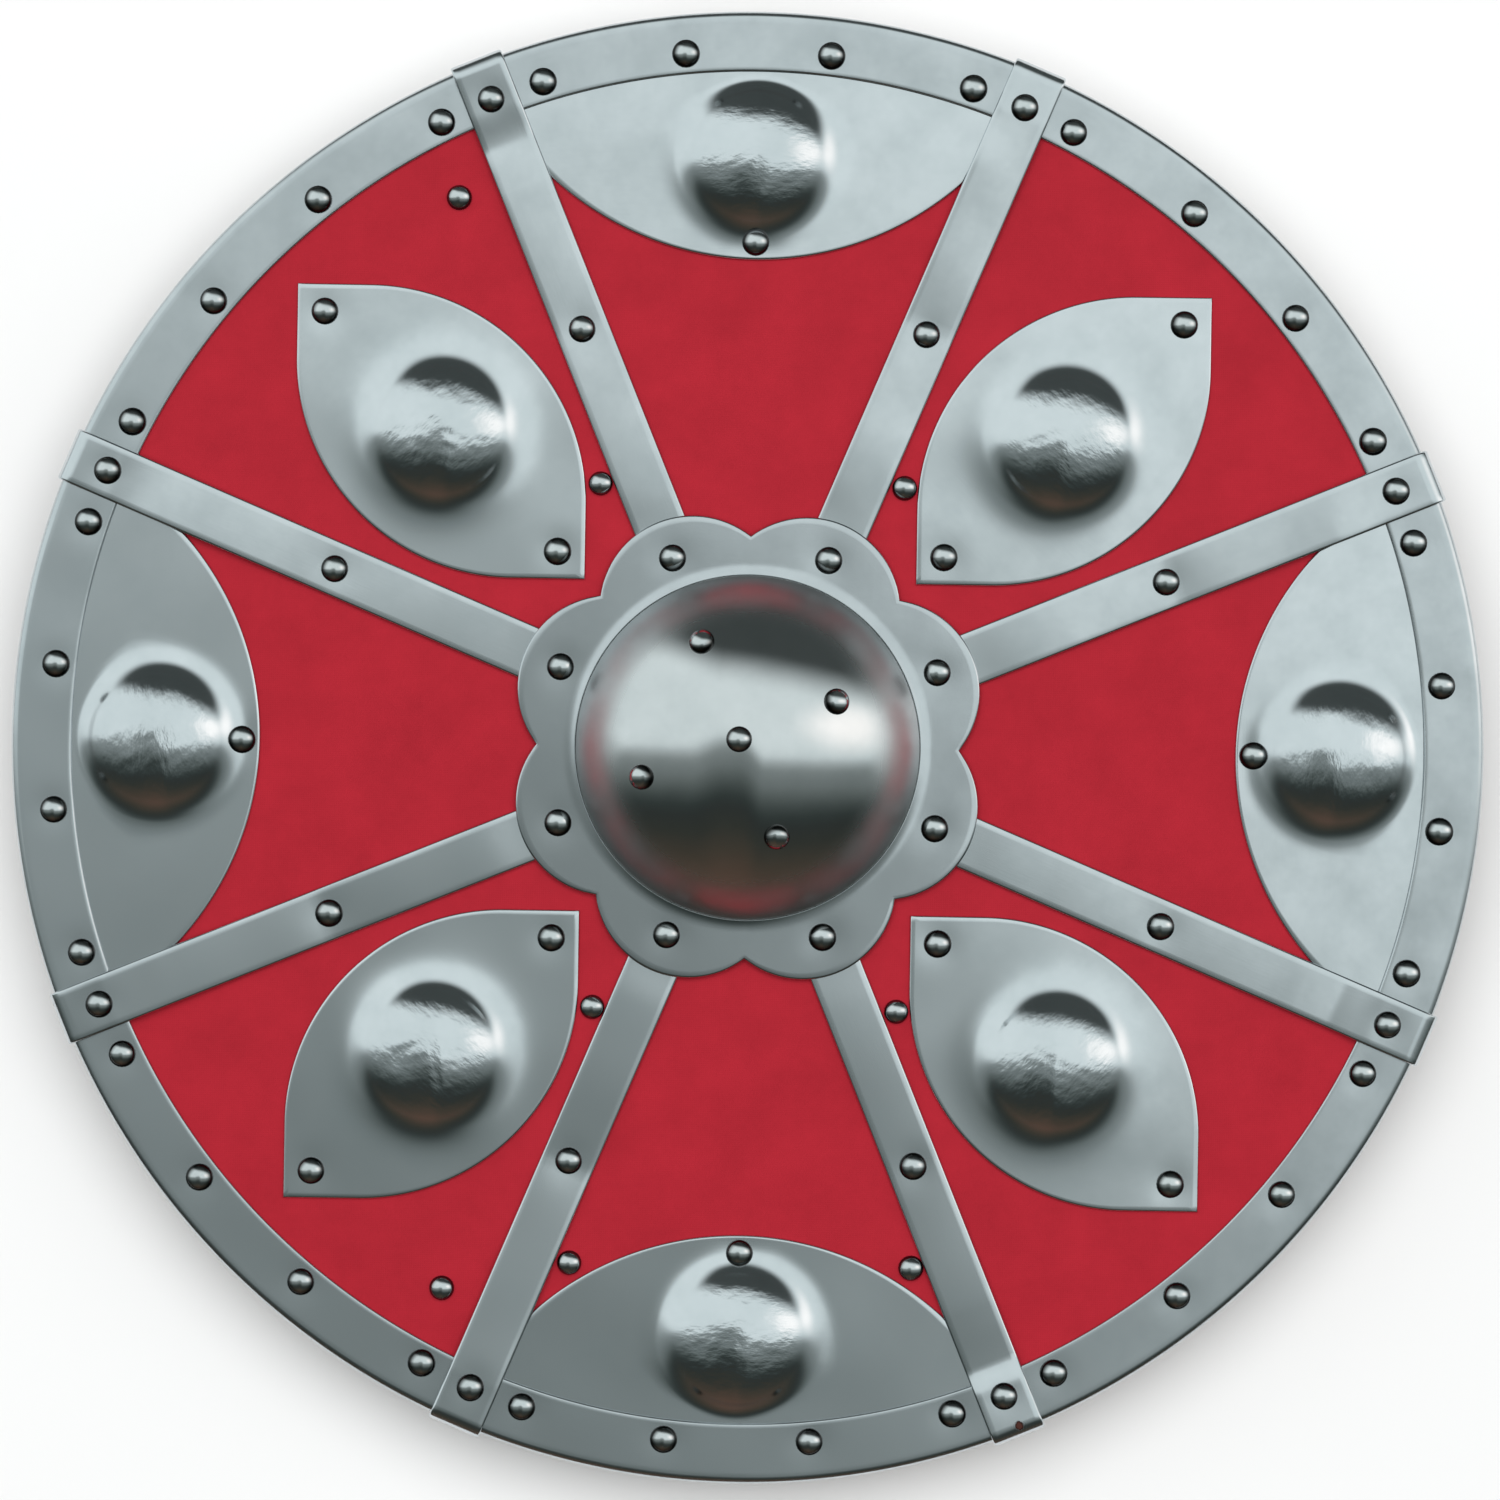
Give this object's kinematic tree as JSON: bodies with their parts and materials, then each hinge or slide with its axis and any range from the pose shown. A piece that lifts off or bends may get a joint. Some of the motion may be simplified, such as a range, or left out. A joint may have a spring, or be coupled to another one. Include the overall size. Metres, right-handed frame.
{
  "type": "viking round shield",
  "caption": "Round wooden shield with a red face, riveted steel rim and straps, bossed plates, a domed centre boss and leather arm straps on its back.",
  "frame": {"origin": "on the surface that the shield lies on, under the middle of its round outline", "axes": "+Z out of the shield's face, +Y towards its upper edge when it is carried, +X to the right of someone who faces it"},
  "size_m": [0.61, 0.61, 0.0952],
  "materials": {
    "board_wood": "oiled bare boards",
    "red_facing": "matte red paint on a bonded facing",
    "satin_steel": "satin, lightly tarnished",
    "polished_steel": "polished, lightly tarnished",
    "arm_leather": "dark brown, plain"
  },
  "bodies": {
    "root": {"board": "board_wood", "facing": "red_facing", "rim_segment_1": "satin_steel", "rim_segment_2": "satin_steel", "rim_segment_3": "satin_steel", "rim_segment_4": "satin_steel", "rim_segment_5": "satin_steel", "rim_segment_6": "satin_steel", "rim_segment_7": "satin_steel", "rim_segment_8": "satin_steel", "lens_plate_right": "satin_steel", "lens_plate_top": "satin_steel", "lens_plate_left": "satin_steel", "lens_plate_bottom": "satin_steel", "leaf_plate_upper_right": "satin_steel", "leaf_plate_upper_left": "satin_steel", "leaf_plate_lower_left": "satin_steel", "leaf_plate_lower_right": "satin_steel", "steel_strap_1": "satin_steel", "steel_strap_2": "satin_steel", "steel_strap_3": "satin_steel", "steel_strap_4": "satin_steel", "steel_strap_5": "satin_steel", "steel_strap_6": "satin_steel", "steel_strap_7": "satin_steel", "steel_strap_8": "satin_steel", "centre_plate": "satin_steel", "dome_boss": "polished_steel", "grip_strap": "arm_leather", "forearm_strap": "arm_leather", "elbow_strap": "arm_leather", "field_rivet_1": "polished_steel", "field_rivet_2": "polished_steel", "field_rivet_3": "polished_steel", "field_rivet_4": "polished_steel", "field_rivet_5": "polished_steel", "field_rivet_6": "polished_steel", "field_rivet_7": "polished_steel", "field_rivet_8": "polished_steel"}
  },
  "joints": []
}
